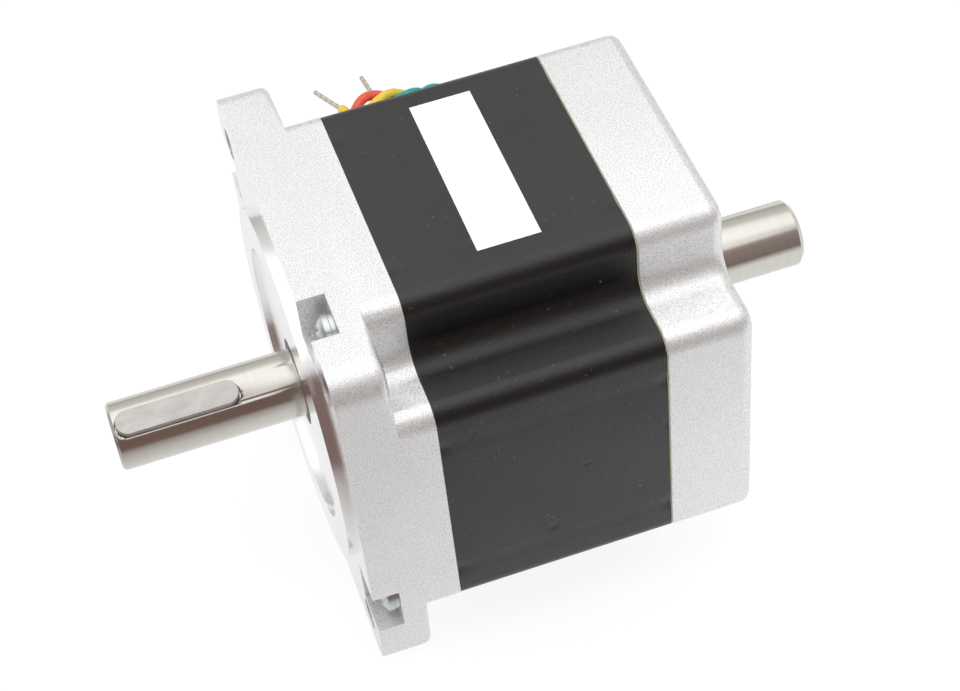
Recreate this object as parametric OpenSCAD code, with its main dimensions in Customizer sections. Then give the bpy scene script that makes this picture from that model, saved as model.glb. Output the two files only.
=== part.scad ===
// Stepper motor with a square flange, a keyed drive shaft and a second plain shaft end.
// The origin is on the shaft axis, in the plane of the mounting face.
// The drive shaft points along -Y, the rear shaft along +Y, and +Z is up.
// The motor lies on the -Z faces of its two end caps.

/* [Frame] */
// Width of the square flange and of both end caps
frame_w = 86; // [84:0.5:92]
// Depth of the front cap, from the mounting face to the stator
front_cap_len = 17.6; // [17:0.2:24]
// Length of the stator stack between the caps
stator_len = 45; // [30:1:90]
// Depth of the rear cap
rear_cap_len = 17.4; // [17:0.2:24]
// Width of a corner notch, from the side face to the notch wall
notch_w = 14.5; // [12:0.25:15]
// Radius in the inner corner of a notch
notch_inner_r = 5; // [3:0.5:7]
// Radius on the two outer edges of a notch
notch_outer_r = 4; // [2:0.5:5]
// Radius round the rear edge of the rear cap
rear_edge_r = 2.4; // [1:0.2:3]

/* [Flange] */
// Thickness of the flange at its bolt holes
flange_t = 10.4; // [7:0.2:12]
// Radius on the four corners of the flange
flange_corner_r = 6; // [3:0.5:7]
// Distance from the side faces to the middle of a bolt hole
bolt_edge = 8.2; // [7.8:0.05:8.5]
// Diameter of the bolt holes
bolt_hole_d = 6.5; // [5:0.1:7]
// Diameter of the centring pilot
pilot_d = 73.02; // [70:0.01:74]
// Height of the pilot over the mounting face
pilot_h = 1.5; // [1:0.1:3]
// Diameter of the shallow recess in the pilot
pilot_recess_d = 56; // [40:1:62]
// Depth of the recess in the pilot
pilot_recess_h = 1; // [0.4:0.1:1.2]

/* [End cap insides] */
// Wall of a cap at the middle of a side
cap_wall = 3.5; // [2.5:0.1:4]
// Thickness of the front wall of the front cap
front_wall_t = 7.5; // [7:0.1:8.5]
// Thickness of the rear wall of the rear cap
rear_wall_t = 7.5; // [6:0.1:8.5]
// Wall round each bearing seat
seat_wall = 5; // [3:0.5:6]
// Lip of the cap over the outer face of a bearing
seat_lip_t = 2; // [1:0.1:3]
// Diameter of the hole in each cap that the shaft passes through
shaft_hole_d = 18; // [17:0.5:24]

/* [Assembly screws] */
// Distance from the wall of a notch to the middle of a screw
screw_edge = 3.65; // [3:0.05:5.5]
// Depth of a screw below the side face
screw_depth = 4.7; // [4.3:0.1:5]
// Thread diameter of the screws
screw_d = 4; // [3:0.5:4]
// Diameter of the screw heads
screw_head_d = 7.5; // [6.5:0.1:8]
// Height of the screw heads
screw_head_h = 2.6; // [2:0.1:2.8]
// Thickness of the spring washer under a head
spring_washer_t = 1; // [0.6:0.1:1.2]
// Width of the pocket for a screw head
pocket_w = 10.5; // [9:0.1:12]
// Depth of the pocket behind the mounting face
pocket_depth = 5.4; // [4.8:0.1:6]
// Height of the pocket, from the side face to its floor
pocket_h = 9.5; // [9:0.1:10.5]
// Length of thread in the rear cap
screw_grip = 9; // [6:0.5:12]

/* [Shaft] */
// Diameter of both shaft ends
shaft_d = 14; // [12:0.5:14.5]
// Length of the drive shaft in front of the mounting face
front_shaft_len = 38.5; // [34:0.5:50]
// Length of the shaft behind the rear cap
rear_shaft_len = 27; // [15:0.5:45]
// Chamfer on the tip of the drive shaft
front_chamfer = 0.6; // [0.2:0.1:1.5]
// Chamfer on the tip of the rear shaft
rear_chamfer = 1; // [0.2:0.1:1.5]
// Diameter of the shaft under the rotor
rotor_seat_d = 18; // [16:0.5:20]
// Diameter of the shoulder in front of the rotor
shoulder_d = 21; // [20.5:0.5:21.5]

/* [Key] */
// Length of the key
key_len = 25; // [12:0.5:32]
// Width of the key
key_w = 5; // [4:0.5:5]
// Height of the key
key_h = 5; // [4:0.5:6]
// Depth of the keyway below the shaft surface
keyway_depth = 3; // [2:0.1:3.5]
// Distance from the shaft tip to the keyway
keyway_inset = 0.6; // [0.3:0.1:4]
// Turn of the key from straight up towards +X
key_turn = 28.5; // [0:0.5:359]

/* [Bearings] */
// Bore of both bearings
bearing_bore = 15; // [14.6:0.1:15.6]
// Outer diameter of both bearings
bearing_od = 35; // [34:0.1:36]
// Width of both bearings
bearing_w = 11; // [10:0.1:11.4]
// Diameter of a ball
ball_d = 5.9; // [5:0.1:6]
// Number of balls in a bearing
ball_count = 8; // [6:1:8]
// Thickness of a bearing shield
shield_t = 0.4; // [0.2:0.1:0.6]

/* [Rotor and stator] */
// Depth of the slots between the stator poles, behind the pole shoes
slot_depth = 6.75; // [6.25:0.05:8]
// Number of rotor teeth
rotor_teeth = 50; // [40:2:50]
// Thickness of the magnet between the rotor stacks
magnet_t = 3; // [2:0.5:6]
// Distance from the rotor surface in to the magnet
magnet_inset = 3; // [2:0.5:8]
// Gap between the rotor and the stator teeth
air_gap = 0.25; // [0.15:0.05:0.4]
// Depth of the teeth on rotor and stator
tooth_h = 1; // [0.6:0.1:1.2]
// Thickness of a pole shoe behind its teeth
shoe_t = 2; // [1.5:0.1:2.5]
// Width of a stator pole
pole_w = 10; // [8:0.5:11]
// Thickness of the stator behind its slots
back_iron = 4.6; // [4.2:0.1:5]
// Opening between neighbouring pole shoes
slot_mouth = 3.2; // [2.5:0.1:4]
// Depth of the two shallow grooves in each side of the stator
groove_depth = 0.6; // [0.3:0.1:1]
// Width of those grooves
groove_w = 3; // [2:0.5:4]
// Distance of the grooves from the middle of a side
groove_offset = 18.5; // [14:0.5:20]

/* [Winding] */
// Thickness of the moulded insulators
insulator_t = 1.5; // [1:0.1:2]
// Length of the coils beyond the insulators
end_turn = 4.5; // [3:0.1:5]

/* [Sleeve and label] */
// Thickness of the black sleeve round the stator
sleeve_t = 0.3; // [0.2:0.05:0.4]
// Depth of the sleeve below the faces of the caps
sleeve_step = 0.1; // [0.05:0.05:0.3]
// Length of the label across the motor
label_len = 42; // [30:0.5:50]
// Width of the label along the motor
label_w = 12.5; // [8:0.5:20]
// Thickness of the label
label_t = 0.12; // [0.1:0.01:0.2]
// Distance from the mounting face to the middle of the label
label_pos = 40.7; // [33:0.1:55]
// Sideways shift of the label
label_shift = -0.6; // [-4:0.1:4]

/* [Leads] */
// Diameter of an insulated lead
lead_d = 2.5; // [1.6:0.1:2.5]
// Diameter of a tinned lead tip
tip_d = 1.2; // [0.8:0.1:1.6]
// Length of a tinned lead tip
tip_len = 10; // [5:0.5:12]
// Distance from the middle of the bundle to the middle of a lead
bundle_r = 2.3; // [2.2:0.05:2.3]
// Length of the lead slot along the motor
lead_slot_len = 7.4; // [7:0.1:8.4]
// Height of the lead slot
lead_slot_w = 9; // [8.4:0.1:12]
// Distance that the grommet stands out of the cap
grommet_out = 1.2; // [0.8:0.1:2]

/* [Hidden] */

// Roundness of the true curves
$fn = 96;
// Sides of the small round pieces whose curves are true as well
fine = 48;
// How far a cut runs past the surface that it opens
overrun = 0.5;
// Clearance between parts that are pressed or seated together
seat_gap = 0.02;
// Clearance between parts that only lie beside each other
free_gap = 0.3;
// Clearance round a screw in its through hole
screw_gap = 0.25;

// Planes along the shaft
stator_y = front_cap_len;
stator_end_y = stator_y + stator_len;
motor_len = stator_end_y + rear_cap_len;
half_w = frame_w / 2;
bolt_spacing = frame_w - 2 * bolt_edge;

// Section of the body
core_inset = sleeve_t + sleeve_step;
notch_wall = half_w - notch_w;
cavity_r = half_w - cap_wall;

arc_steps = 6;
edge_steps = 4;

// Bearing seats
bearing_r = bearing_od / 2;
seat_r = bearing_r + seat_gap;
boss_r = seat_r + seat_wall;
front_bearing_y = seat_lip_t + bearing_w / 2;
washer_space = 1;
rear_seat_y = motor_len - seat_lip_t;
rear_bearing_y = rear_seat_y - washer_space - bearing_w / 2;
front_boss_y = front_bearing_y + bearing_w / 2;
rear_boss_y = rear_bearing_y - bearing_w / 2;

// Bearing sections
journal_r = bearing_bore / 2 - seat_gap;
pitch_r = (bearing_bore + bearing_od) / 4;
ball_r = ball_d / 2;
race_gap = 0.1;
race_r = ball_r + race_gap;
race_cover_share = 0.44;
inner_land_r = pitch_r - race_r + race_r * race_cover_share;
outer_land_r = pitch_r + race_r - race_r * race_cover_share * 1.1;
shield_rim = 0.5;
shield_inset = 0.2;
cage_wall = 1.1;
cage_w = ball_d + 1.2;
cage_ball_gap = 0.12;

// Stator and rotor sections
pole_count = 8;
teeth_per_pole = 6;
tooth_pitch = 360 / rotor_teeth;
slot_r = half_w - core_inset - back_iron;
shoe_r = slot_r - slot_depth;
stator_bore_r = shoe_r - shoe_t - tooth_h;
rotor_r = stator_bore_r - air_gap;
magnet_r = rotor_r - magnet_inset;
tooth_share = 0.46;
rotor_end_gap = 0.5;
rotor_y = stator_y + rotor_end_gap;
rotor_end_y = stator_end_y - rotor_end_gap;
stack_len = (rotor_end_y - rotor_y - magnet_t) / 2;

// Winding sections
coil_gap = 0.4;
liner_t = 0.5;
coil_in = shoe_r + coil_gap;
coil_half = coil_in * tan(180 / pole_count) - coil_gap;
coil_out = sqrt(pow(slot_r - coil_gap, 2) - pow(coil_half, 2));
coil_hole_half = pole_w / 2 + liner_t;
coil_corner_r = 2.5;

// Screws
screw_r = screw_d / 2;
screw_x = notch_wall - screw_edge;
screw_z = half_w - screw_depth;
screw_seat_y = pocket_depth - spring_washer_t;
screw_end_y = stator_end_y + screw_grip;
recess_w = 1.1;
recess_len_share = 0.55;
head_dome_share = 0.55;

// Leads: where they come out, and the middle line of the four, ending where they part
exit_x = -half_w - grommet_out;
exit_y = stator_end_y + lead_slot_len / 2;
exit_z = 0;
grommet_lip = 1;
grommet_in = 4.6;
lead_r = lead_d / 2;
tube_sides = 8;
start_turn = 45;
quarter = 90;
// Each row is a point of the middle line of the leads and the turn of the leads round it
bundle_route = [
    [-44.2, 66.3, 0, 0], [-51.5, 66.3, 0, 0], [-59.5, 65.5, -7, 0], [-65, 61, -24, 0],
    [-69, 52, -38, 0], [-71.5, 38, -40, 0], [-73, 24, -40, 0], [-76.5, 16, -40, 0],
    [-83, 13, -40, 0], [-88.5, 17, -40, 0], [-90.5, 26, -40, 0], [-91.5, 72, -40, 0],
    [-93, 80, -40, 0], [-96.5, 86, -40, 0], [-101.5, 87.5, -39.8, 0], [-105.3, 84, -39.6, 0],
    [-106.8, 78, -39.5, 0], [-107.6, 72.4, -39.4, 0], [-108.7, 68.6, -39.4, 8], [-110.4, 65.4, -39.4, 26],
    [-111.9, 62.8, -39.4, 57], [-112.8, 60.6, -39.4, 95], [-113.1, 58.4, -39.4, 135],
    [-113.2, 56.2, -39.4, 176], [-113.7, 54, -39.4, 217], [-114.6, 51.8, -39.4, 258],
    [-115.5, 49.6, -39.4, 298], [-116.1, 47.4, -39.4, 338]];
// The last points of each lead, after it leaves the others
red_end = [[-118.1, 45.3, -37.7], [-117, 43.3, -37.2], [-115.5, 41.2, -38], [-113.8, 39, -39.8],
    [-112, 36.6, -41.4], [-110.2, 34.1, -41.7]];
yellow_end = [[-114.5, 45.2, -38], [-113.9, 43.3, -39.8], [-114.9, 41.3, -41.3], [-117.2, 39.9, -41.65],
    [-120.6, 38.2, -41.65]];
green_end = [[-112.7, 45.4, -41.2], [-110.4, 43.1, -41.7], [-108.3, 40.3, -41.7]];
blue_end = [[-118.4, 47.6, -41.7], [-120.2, 47.4, -41.7]];

// Colours
cast_colour = [0.80, 0.80, 0.81];
sleeve_colour = [0.13, 0.13, 0.13];
lamination_colour = [0.42, 0.43, 0.45];
steel_colour = [0.70, 0.69, 0.66];
ring_colour = [0.74, 0.75, 0.77];
copper_colour = [0.72, 0.36, 0.18];
nylon_colour = [0.90, 0.89, 0.84];
zinc_colour = [0.72, 0.76, 0.80];
rubber_colour = [0.10, 0.10, 0.10];
paper_colour = [0.97, 0.97, 0.97];
tinned_colour = [0.72, 0.70, 0.65];
magnet_colour = [0.30, 0.30, 0.32];

// Builds a flat shape up along Y. Its second axis becomes Z.
module along_y(y_from, y_to)
    translate([0, y_to, 0]) rotate([90, 0, 0]) linear_extrude(height = y_to - y_from) children();

module bar_y(r, y_from, y_to) along_y(y_from, y_to) circle(r = r);

// Turns a shape built round +Z so that its +Z points along +Y, starting at y_from
module turned_y(y_from) translate([0, y_from, 0]) rotate([-90, 0, 0]) children();

module cone_y(r_from, r_to, y_from, y_to)
    turned_y(y_from) cylinder(r1 = r_from, r2 = r_to, h = y_to - y_from);

// A rectangle with round corners
module rounded_square(w, h, r) {
    square([w - 2 * r, h], center = true);
    square([w, h - 2 * r], center = true);
    for (i = [-1, 1], j = [-1, 1])
        translate([i * (w / 2 - r), j * (h / 2 - r)]) circle(r = r, $fn = fine);
}

// Square section with four round-cornered notches, all faces set in by inset
module body_section(inset) {
    half = half_w - inset;
    wall = notch_wall - inset;
    inner_r = notch_inner_r + inset;
    outer_r = max(notch_outer_r - inset, free_gap);
    difference() {
        square(2 * half, center = true);
        for (i = [-1, 1], j = [-1, 1]) scale([i, j]) {
            // The notch itself, with its round inner corner
            translate([wall + inner_r, wall]) square(half);
            translate([wall, wall + inner_r]) square(half);
            translate([wall + inner_r, wall + inner_r]) circle(r = inner_r, $fn = fine);
            // The round outer edges of the notch
            for (flip = [0, 1]) mirror([flip, -flip]) difference() {
                translate([wall - outer_r, half - outer_r]) square(outer_r + overrun);
                translate([wall - outer_r, half - outer_r]) circle(r = outer_r, $fn = fine);
            }
        }
    }
}

// Puts a copy of a shape at each of the four screws
module at_screws() for (i = [0:3]) rotate([0, quarter * i, 0]) translate([screw_x, 0, screw_z]) children();

module screw_holes(r, y_from, y_to) at_screws() bar_y(r, y_from, y_to, $fn = fine);

module front_cap() color(cast_colour) difference() {
    union() {
        along_y(0, flange_t) rounded_square(frame_w, frame_w, flange_corner_r);
        along_y(0, front_cap_len) body_section(0);
        bar_y(pilot_d / 2, -pilot_h, overrun);
    }
    bar_y(pilot_recess_d / 2, -pilot_h - overrun, -pilot_h + pilot_recess_h);
    bar_y(shaft_hole_d / 2, -pilot_h - overrun, front_bearing_y);
    bar_y(seat_r, seat_lip_t, front_cap_len + overrun);
    difference() {
        bar_y(cavity_r, front_wall_t, front_cap_len + overrun);
        bar_y(boss_r, front_wall_t - overrun, front_boss_y);
    }
    for (i = [-1, 1], j = [-1, 1]) translate([i * bolt_spacing / 2, 0, j * bolt_spacing / 2])
        bar_y(bolt_hole_d / 2, -overrun, flange_t + overrun, $fn = fine);
    at_screws() translate([-pocket_w / 2, -overrun, screw_depth - pocket_h])
        cube([pocket_w, pocket_depth + overrun, pocket_h + overrun]);
    screw_holes(screw_r + screw_gap, 0, front_cap_len + overrun);
}

// The three arcs of the notch in the +X +Z corner, set in by inset: centre, radius, first angle, turn
function notch_arcs(inset) = let (
    outer_r = max(notch_outer_r - inset, free_gap),
    inner_r = notch_inner_r + inset,
    half = half_w - inset,
    wall = notch_wall - inset)
    [[[half - outer_r, wall - outer_r], outer_r, 0, quarter],
    [[wall + inner_r, wall + inner_r], inner_r, 3 * quarter, -quarter],
    [[wall - outer_r, half - outer_r], outer_r, 0, quarter]];

function turned(p, turn) = [p[0] * cos(turn) - p[1] * sin(turn), p[0] * sin(turn) + p[1] * cos(turn)];

// The outline of body_section as points
function outline_points(inset) = [for (corner = [0:3], arc = notch_arcs(inset), k = [0:arc_steps])
    let (angle = arc[2] + arc[3] * k / arc_steps)
    turned(arc[0] + arc[1] * [cos(angle), sin(angle)], quarter * corner)];

// Outside of the rear cap: its outline, drawn in along a quarter circle at the rear end
module rear_cap_body() {
    levels = concat([[0, stator_end_y]], [for (k = [0:edge_steps]) let (turn = quarter * k / edge_steps)
        [rear_edge_r * (1 - cos(turn)), motor_len - rear_edge_r * (1 - sin(turn))]]);
    last = len(levels) - 1;
    count = len(outline_points(0));
    points = [for (level = levels, p = outline_points(level[0])) [p[0], level[1], p[1]]];
    sides = [for (j = [0:last - 1], i = [0:count - 1]) let (next = (i + 1) % count)
        [j * count + i, j * count + next, (j + 1) * count + next, (j + 1) * count + i]];
    front_face = [[for (i = [0:count - 1]) count - 1 - i]];
    rear_face = [[for (i = [0:count - 1]) last * count + i]];
    polyhedron(points = points, faces = concat(sides, front_face, rear_face));
}

module rear_cap() color(cast_colour) difference() {
    rear_cap_body();
    bar_y(shaft_hole_d / 2, rear_bearing_y, motor_len + overrun);
    bar_y(seat_r, stator_end_y - overrun, rear_seat_y);
    difference() {
        bar_y(cavity_r, stator_end_y - overrun, motor_len - rear_wall_t);
        bar_y(boss_r, rear_boss_y, motor_len);
    }
    screw_holes(screw_r + seat_gap, stator_end_y - overrun, screw_end_y + screw_r);
    translate([-half_w - overrun, stator_end_y - overrun, exit_z - lead_slot_w / 2])
        cube([half_w + overrun - cavity_r + cap_wall, lead_slot_len + overrun, lead_slot_w]);
}

module pole_turn(i) rotate(i * 360 / pole_count) children();

// Section of the stator: outline, eight poles with toothed shoes, and the slots between them
module stator_section() {
    mouth_turn = 180 / pole_count;
    difference() {
        intersection() {
            body_section(core_inset);
            union() {
                difference() {
                    square(frame_w, center = true);
                    circle(r = slot_r);
                }
                for (i = [0:pole_count - 1]) pole_turn(i) translate([stator_bore_r + tooth_h, -pole_w / 2])
                    square([slot_r + back_iron / 2 - stator_bore_r - tooth_h, pole_w]);
                difference() {
                    circle(r = shoe_r);
                    for (i = [0:pole_count - 1]) rotate(mouth_turn) pole_turn(i)
                        translate([0, -slot_mouth / 2]) square([shoe_r + overrun, slot_mouth]);
                }
            }
        }
        circle(r = stator_bore_r);
        for (i = [0:pole_count - 1], k = [1:teeth_per_pole - 1]) pole_turn(i)
            rotate((k - teeth_per_pole / 2) * tooth_pitch) tooth_gap();
        screw_places() circle(r = screw_r + screw_gap, $fn = fine);
        for (i = [0:3], side = [-1, 1]) rotate(quarter * i)
            translate([side * groove_offset - groove_w / 2, half_w - core_inset - groove_depth])
                square([groove_w, groove_depth + overrun]);
    }
}

module tooth_gap() {
    gap_w = (1 - tooth_share) * stator_bore_r * tooth_pitch * PI / 180;
    translate([stator_bore_r - overrun, -gap_w / 2]) square([tooth_h + overrun, gap_w]);
}

// The four screw positions in a flat section. The second axis is Z.
module screw_places() for (i = [0:3]) rotate(-quarter * i) translate([screw_x, screw_z]) children();

module stator_core() color(lamination_colour) along_y(stator_y, stator_end_y) stator_section();

module stator_sleeve() color(sleeve_colour) along_y(stator_y + seat_gap, stator_end_y - seat_gap)
    difference() {
        body_section(sleeve_step);
        body_section(core_inset);
    }

module label() color(paper_colour)
    translate([label_shift - label_len / 2, label_pos - label_w / 2, half_w - sleeve_step])
        cube([label_len, label_w, label_t]);

// End frame of the winding: a rim round the slots, a finger over each pole and a lip at its shoe
module insulator(open_side) {
    rim_r = cavity_r - free_gap;
    full_h = insulator_t + end_turn;
    lip_in = max(stator_bore_r + tooth_h, boss_r + free_gap);
    lip_out = coil_in - coil_gap / 2;
    difference() {
        linear_extrude(height = full_h) difference() {
            circle(r = rim_r);
            circle(r = slot_r - coil_gap / 2);
        }
        if (open_side) translate([-rim_r - overrun, -lead_slot_w / 2, -overrun])
            cube([rim_r, lead_slot_w, full_h + 2 * overrun]);
    }
    for (i = [0:pole_count - 1]) pole_turn(i) {
        translate([lip_in, -pole_w / 2, 0]) cube([slot_r - lip_in, pole_w, insulator_t]);
        translate([lip_in, -coil_half / 2, 0]) cube([lip_out - lip_in, coil_half, full_h]);
    }
}

module front_insulator() color(nylon_colour)
    translate([0, stator_y, 0]) rotate([quarter, 0, 0]) insulator(false);

module rear_insulator() color(nylon_colour)
    translate([0, stator_end_y, 0]) rotate([-quarter, 0, 0]) insulator(true);

// One coil, wound round the pole that points along the turn i of the eight
module coil(i) color(copper_colour) rotate([0, i * 360 / pole_count, 0])
    translate([coil_in, (stator_y + stator_end_y) / 2, 0]) rotate([quarter, 0, quarter])
        linear_extrude(height = coil_out - coil_in) difference() {
            rounded_square(stator_len + 2 * (insulator_t + end_turn), 2 * coil_half, coil_corner_r);
            square([stator_len + 2 * (insulator_t + seat_gap), 2 * coil_hole_half], center = true);
        }

module coil_1() coil(0);
module coil_2() coil(1);
module coil_3() coil(2);
module coil_4() coil(3);
module coil_5() coil(4);
module coil_6() coil(5);
module coil_7() coil(6);
module coil_8() coil(7);

// One assembly screw along Y: a pan head with a cross recess, and its shank
module assembly_screw() difference() {
    head_r = screw_head_d / 2;
    rim_h = screw_head_h * (1 - head_dome_share);
    dome_h = screw_head_h - rim_h;
    dome_r = (head_r * head_r + dome_h * dome_h) / (2 * dome_h);
    union() {
        bar_y(screw_r, screw_seat_y - overrun, screw_end_y, $fn = fine);
        bar_y(head_r, screw_seat_y - rim_h, screw_seat_y, $fn = fine);
        intersection() {
            bar_y(head_r, screw_seat_y - screw_head_h, screw_seat_y - rim_h, $fn = fine);
            translate([0, screw_seat_y - screw_head_h + dome_r, 0]) sphere(r = dome_r);
        }
    }
    recess_len = screw_head_d * recess_len_share;
    for (turn = [0, quarter]) rotate([0, turn, 0])
        translate([-recess_len / 2, screw_seat_y - screw_head_h - overrun, -recess_w / 2])
            cube([recess_len, dome_h + overrun, recess_w]);
}

module assembly_screws() color(zinc_colour) at_screws() assembly_screw();

module screw_spring_washers() color(zinc_colour) at_screws() difference() {
    bar_y(screw_head_d / 2 - free_gap / 2, screw_seat_y, pocket_depth, $fn = fine);
    bar_y(screw_r + seat_gap, screw_seat_y - overrun, pocket_depth + overrun, $fn = fine);
}

// Outer ring of a bearing, centred on the origin with its axis along Z
module outer_ring() color(ring_colour) rotate_extrude() difference() {
    translate([outer_land_r, -bearing_w / 2]) square([bearing_r - outer_land_r, bearing_w]);
    translate([pitch_r, 0]) circle(r = race_r, $fn = fine);
    for (side = [-1, 1]) translate([0, side * (bearing_w / 2 - shield_step() / 2)])
        square([2 * (outer_land_r + shield_rim), shield_step() + seat_gap], center = true);
}

function shield_step() = shield_inset + shield_t;

module inner_ring() color(ring_colour) rotate_extrude() difference() {
    translate([bearing_bore / 2, -bearing_w / 2]) square([inner_land_r - bearing_bore / 2, bearing_w]);
    translate([pitch_r, 0]) circle(r = race_r, $fn = fine);
}

module balls() color(steel_colour)
    for (i = [0:ball_count - 1]) rotate([0, 0, i * 360 / ball_count]) translate([pitch_r, 0, 0])
        sphere(r = ball_r, $fn = fine);

module cage() color(steel_colour) difference() {
    cylinder(r = pitch_r + cage_wall / 2, h = cage_w, center = true);
    cylinder(r = pitch_r - cage_wall / 2, h = cage_w + overrun, center = true);
    for (i = [0:ball_count - 1]) rotate([0, 0, i * 360 / ball_count]) rotate([0, quarter, 0])
        cylinder(r = ball_r + cage_ball_gap, h = pitch_r + cage_wall, $fn = fine);
}

module shields() color(steel_colour) for (side = [-1, 1])
    translate([0, 0, side * (bearing_w / 2 - shield_inset - shield_t / 2)]) difference() {
        cylinder(r = outer_land_r + shield_rim - seat_gap, h = shield_t, center = true);
        cylinder(r = inner_land_r + free_gap, h = shield_t + overrun, center = true);
    }

module front_bearing_outer_ring() turned_y(front_bearing_y) outer_ring();
module front_bearing_inner_ring() turned_y(front_bearing_y) inner_ring();
module front_bearing_cage() turned_y(front_bearing_y) cage();
module front_bearing_balls() turned_y(front_bearing_y) balls();
module front_bearing_shields() turned_y(front_bearing_y) shields();
module rear_bearing_outer_ring() turned_y(rear_bearing_y) outer_ring();
module rear_bearing_inner_ring() turned_y(rear_bearing_y) inner_ring();
module rear_bearing_cage() turned_y(rear_bearing_y) cage();
module rear_bearing_balls() turned_y(rear_bearing_y) balls();
module rear_bearing_shields() turned_y(rear_bearing_y) shields();

// Wavy spring ring that pushes the rear bearing forward
module wave_washer() color(steel_colour) {
    waves = 3;
    steps = 36;
    strip_t = 0.3;
    lift = (washer_space - strip_t - 2 * seat_gap) / 2;
    radii = [pitch_r + ball_r, bearing_r - free_gap];
    middle_y = rear_seat_y - washer_space / 2;
    points = [for (k = [0:steps - 1], corner = [[0, -1], [1, -1], [1, 1], [0, 1]])
        let (turn = k * 360 / steps, r = radii[corner[0]])
        [r * cos(turn), middle_y + lift * sin(waves * turn) + corner[1] * strip_t / 2, r * sin(turn)]];
    faces = [for (k = [0:steps - 1], c = [0:3])
        let (next = (k + 1) % steps, d = (c + 1) % 4)
        [4 * k + c, 4 * next + c, 4 * next + d, 4 * k + d]];
    polyhedron(points = points, faces = faces);
}

// Places of the four leads round the middle of the bundle, seen along the leads
function lead_turn(i) = start_turn + quarter * i;

module at_leads() for (i = [0:3])
    translate([0, exit_y + bundle_r * cos(lead_turn(i)), exit_z + bundle_r * sin(lead_turn(i))])
        rotate([0, quarter, 0]) children();

module lead_grommet() color(rubber_colour) difference() {
    union() {
        translate([-half_w - grommet_out, stator_end_y + seat_gap, exit_z - lead_slot_w / 2 + seat_gap])
            cube([grommet_out + grommet_in, lead_slot_len - 2 * seat_gap, lead_slot_w - 2 * seat_gap]);
        translate([-half_w - grommet_out, stator_end_y + seat_gap, exit_z - lead_slot_w / 2 - grommet_lip])
            cube([grommet_out, lead_slot_len + grommet_lip, lead_slot_w + 2 * grommet_lip]);
    }
    translate([-half_w - grommet_out - overrun, 0, 0]) at_leads()
        cylinder(r = lead_r + seat_gap, h = grommet_out + grommet_in + 2 * overrun, $fn = fine);
}

// The ends of the leads inside the grommet
module lead_tails() color(nylon_colour) translate([exit_x, 0, 0]) at_leads()
    cylinder(r = lead_r, h = -exit_x - slot_r - free_gap, $fn = fine);

// Vector helpers for the leads
function unit(v) = v / norm(v);
function spot(row) = [row[0], row[1], row[2]];
function direction(points, k) = unit(points[min(k + 1, len(points) - 1)] - points[max(k - 1, 0)]);
function across(d) = unit([d[1], -d[0], 0]);

middle_line = [for (row = bundle_route) spot(row)];

// The points of lead i: round the middle of the bundle, then along its own end
function lead_points(i, end) = concat(
    [for (k = [0:len(middle_line) - 1])
        let (d = direction(middle_line, k), a = across(d), u = cross(a, d),
            turn = lead_turn(i) + bundle_route[k][3])
        middle_line[k] + bundle_r * (a * cos(turn) + u * sin(turn))],
    end);

// A round tube along a list of points. Its first ring faces along start.
module tube(points, r, start) {
    last = len(points) - 1;
    rings = [for (k = [0:last])
        let (d = k == 0 ? start : direction(points, k), a = across(d), u = cross(a, d))
        for (s = [0:tube_sides - 1]) let (turn = (s + 0.5) * 360 / tube_sides)
        points[k] + r * (a * cos(turn) + u * sin(turn))];
    sides = [for (k = [0:last - 1], s = [0:tube_sides - 1]) let (next = (s + 1) % tube_sides)
        [k * tube_sides + s, k * tube_sides + next, (k + 1) * tube_sides + next, (k + 1) * tube_sides + s]];
    start_face = [[for (s = [0:tube_sides - 1]) tube_sides - 1 - s]];
    end_face = [[for (s = [0:tube_sides - 1]) last * tube_sides + s]];
    polyhedron(points = rings, faces = concat(sides, start_face, end_face));
}

module lead(i, end) tube(lead_points(i, end), lead_r, [-1, 0, 0]);

// A tinned tip that runs straight on from the end of a lead
module tip(end) {
    last = len(end) - 1;
    onward = unit(end[last] - end[last - 1]);
    tube([end[last], end[last] + tip_len * onward], tip_d / 2, onward);
}

module lead_red() color("tomato") lead(0, red_end);
module lead_yellow() color("gold") lead(1, yellow_end);
module lead_green() color("lightseagreen") lead(2, green_end);
module lead_blue() color("royalblue") lead(3, blue_end);
module lead_tip_red() color(tinned_colour) tip(red_end);
module lead_tip_yellow() color(tinned_colour) tip(yellow_end);
module lead_tip_green() color(tinned_colour) tip(green_end);
module lead_tip_blue() color(tinned_colour) tip(blue_end);

// Section of the key or keyway in its own plane, with round ends. The length runs along Y.
module key_section(w, l) {
    square([w, l - w], center = true);
    for (side = [-1, 1]) translate([0, side * (l - w) / 2]) circle(r = w / 2, $fn = fine);
}

module keyway() rotate([0, key_turn, 0])
    translate([0, keyway_y(), shaft_d / 2 - keyway_depth])
        linear_extrude(height = keyway_depth + overrun) key_section(key_w + 2 * seat_gap, keyway_len());

function keyway_len() = key_len + 2 * free_gap;
function keyway_y() = -front_shaft_len + keyway_inset + keyway_len() / 2;

module shaft_key() color(steel_colour) rotate([0, key_turn, 0])
    translate([0, keyway_y(), shaft_d / 2 - keyway_depth])
        linear_extrude(height = key_h) key_section(key_w, key_len);

module shaft() color(steel_colour) difference() {
    tip_y = -front_shaft_len;
    end_y = motor_len + rear_shaft_len;
    end_r = shaft_d / 2;
    journal_y = seat_lip_t - overrun;
    union() {
        cone_y(end_r - front_chamfer, end_r, tip_y, tip_y + front_chamfer);
        bar_y(end_r, tip_y + front_chamfer, journal_y);
        bar_y(journal_r, journal_y, front_boss_y);
        bar_y(shoulder_d / 2, front_boss_y, rotor_y);
        bar_y(rotor_seat_d / 2, rotor_y, rear_boss_y);
        bar_y(journal_r, rear_boss_y, motor_len);
        bar_y(end_r, motor_len, end_y - rear_chamfer);
        cone_y(end_r, end_r - rear_chamfer, end_y - rear_chamfer, end_y);
    }
    keyway();
}

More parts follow.
